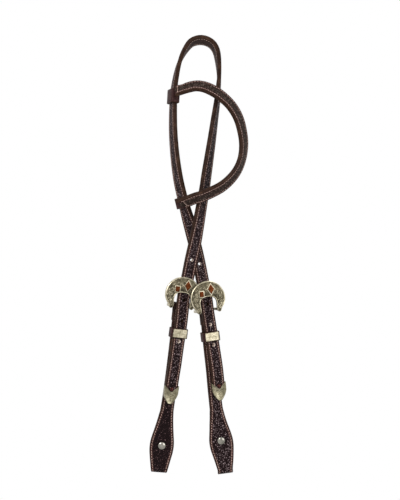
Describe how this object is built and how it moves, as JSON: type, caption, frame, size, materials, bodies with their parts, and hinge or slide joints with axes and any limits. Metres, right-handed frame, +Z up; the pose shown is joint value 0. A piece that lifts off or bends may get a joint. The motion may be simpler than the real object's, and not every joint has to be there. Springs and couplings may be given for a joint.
{
  "type": "western headstall",
  "caption": "Western one-ear headstall: tooled leather crown with a sliding ear piece, crescent buckles, leather keepers, folded bit ends and Chicago screws.",
  "frame": {"origin": "underside of the crown strap's top, at the middle of its width, where it rests on the horse's poll or on a hook", "axes": "+Z up, +X to the right as seen from the front, -Y towards the viewer and the tooled faces of the cheeks"},
  "size_m": [0.1217, 0.0477, 0.548],
  "materials": {
    "tooled_leather": "satin",
    "lining_leather": "matte",
    "engraved_silver": "satin",
    "copper_overlay": "satin",
    "hardware_steel": "satin"
  },
  "bodies": {
    "crown": {"crown_face": "tooled_leather", "crown_lining": "lining_leather"},
    "ear": {"ear_face": "tooled_leather", "ear_lining": "lining_leather", "ear_upper_loop": "tooled_leather", "ear_lower_loop": "tooled_leather"},
    "left_cheek": {"left_cheek_face": "tooled_leather", "left_cheek_lining": "lining_leather", "left_billet_face": "tooled_leather", "left_billet_lining": "lining_leather", "left_tip": "engraved_silver", "left_tip_rivet": "hardware_steel", "left_screw_post": "hardware_steel"},
    "left_buckle": {"left_buckle_crescent": "engraved_silver", "left_buckle_bar": "hardware_steel", "left_buckle_lozenge": "copper_overlay", "left_buckle_square": "copper_overlay"},
    "left_tongue": {"left_tongue": "hardware_steel"},
    "left_keeper": {"left_keeper_loop": "tooled_leather", "left_keeper_plate": "engraved_silver"},
    "left_screw": {"left_screw": "hardware_steel"},
    "right_cheek": {"right_cheek_face": "tooled_leather", "right_cheek_lining": "lining_leather", "right_billet_face": "tooled_leather", "right_billet_lining": "lining_leather", "right_tip": "engraved_silver", "right_tip_rivet": "hardware_steel", "right_screw_post": "hardware_steel"},
    "right_buckle": {"right_buckle_crescent": "engraved_silver", "right_buckle_bar": "hardware_steel", "right_buckle_lozenge": "copper_overlay", "right_buckle_square": "copper_overlay"},
    "right_tongue": {"right_tongue": "hardware_steel"},
    "right_keeper": {"right_keeper_loop": "tooled_leather", "right_keeper_plate": "engraved_silver"},
    "right_screw": {"right_screw": "hardware_steel"}
  },
  "joints": [
    {"name": "ear_slide", "type": "hinge", "parent": "crown", "child": "ear", "pos_m": [0.352, 0, -0.094], "axis": [0, 1, 0], "range_deg": [-0.9, 1.2]},
    {"name": "left_cheek_swing", "type": "hinge", "parent": "crown", "child": "left_cheek", "pos_m": [-0.02517, 0.00301, -0.32598], "axis": [-0.9428, -0.309, 0.1249], "range_deg": [-15, 15]},
    {"name": "left_buckle_lift", "type": "hinge", "parent": "crown", "child": "left_buckle", "pos_m": [-0.02517, 0.00301, -0.32598], "axis": [0.9428, 0.309, -0.1249], "range_deg": [0, 2]},
    {"name": "left_tongue_turn", "type": "hinge", "parent": "crown", "child": "left_tongue", "pos_m": [-0.02517, 0.00301, -0.32598], "axis": [-0.9428, -0.309, 0.1249], "range_deg": [0, 110]},
    {"name": "left_keeper_slide", "type": "slide", "parent": "left_cheek", "child": "left_keeper", "axis": [0.1307, 0.0009, 0.9914], "range_m": [-0.012, 0.005]},
    {"name": "left_screw_spin", "type": "hinge", "parent": "left_cheek", "child": "left_screw", "pos_m": [-0.04855, 0.00256, -0.49813], "axis": [-0.052, 0.9986, 0.0059], "continuous": true},
    {"name": "right_cheek_swing", "type": "hinge", "parent": "crown", "child": "right_cheek", "pos_m": [0.00576, 0.01107, -0.33182], "axis": [-0.9439, -0.309, -0.1162], "range_deg": [-15, 15]},
    {"name": "right_buckle_lift", "type": "hinge", "parent": "crown", "child": "right_buckle", "pos_m": [0.00576, 0.01107, -0.33182], "axis": [0.9439, 0.309, 0.1162], "range_deg": [0, 70]},
    {"name": "right_tongue_turn", "type": "hinge", "parent": "crown", "child": "right_tongue", "pos_m": [0.00576, 0.01107, -0.33182], "axis": [-0.9439, -0.309, -0.1162], "range_deg": [0, 110]},
    {"name": "right_keeper_slide", "type": "slide", "parent": "right_cheek", "child": "right_keeper", "axis": [-0.1299, -0.004, 0.9915], "range_m": [-0.012, 0.005]},
    {"name": "right_screw_spin", "type": "hinge", "parent": "right_cheek", "child": "right_screw", "pos_m": [0.02483, 0.01095, -0.4937], "axis": [-0.0521, 0.9986, -0.0051], "continuous": true}
  ]
}
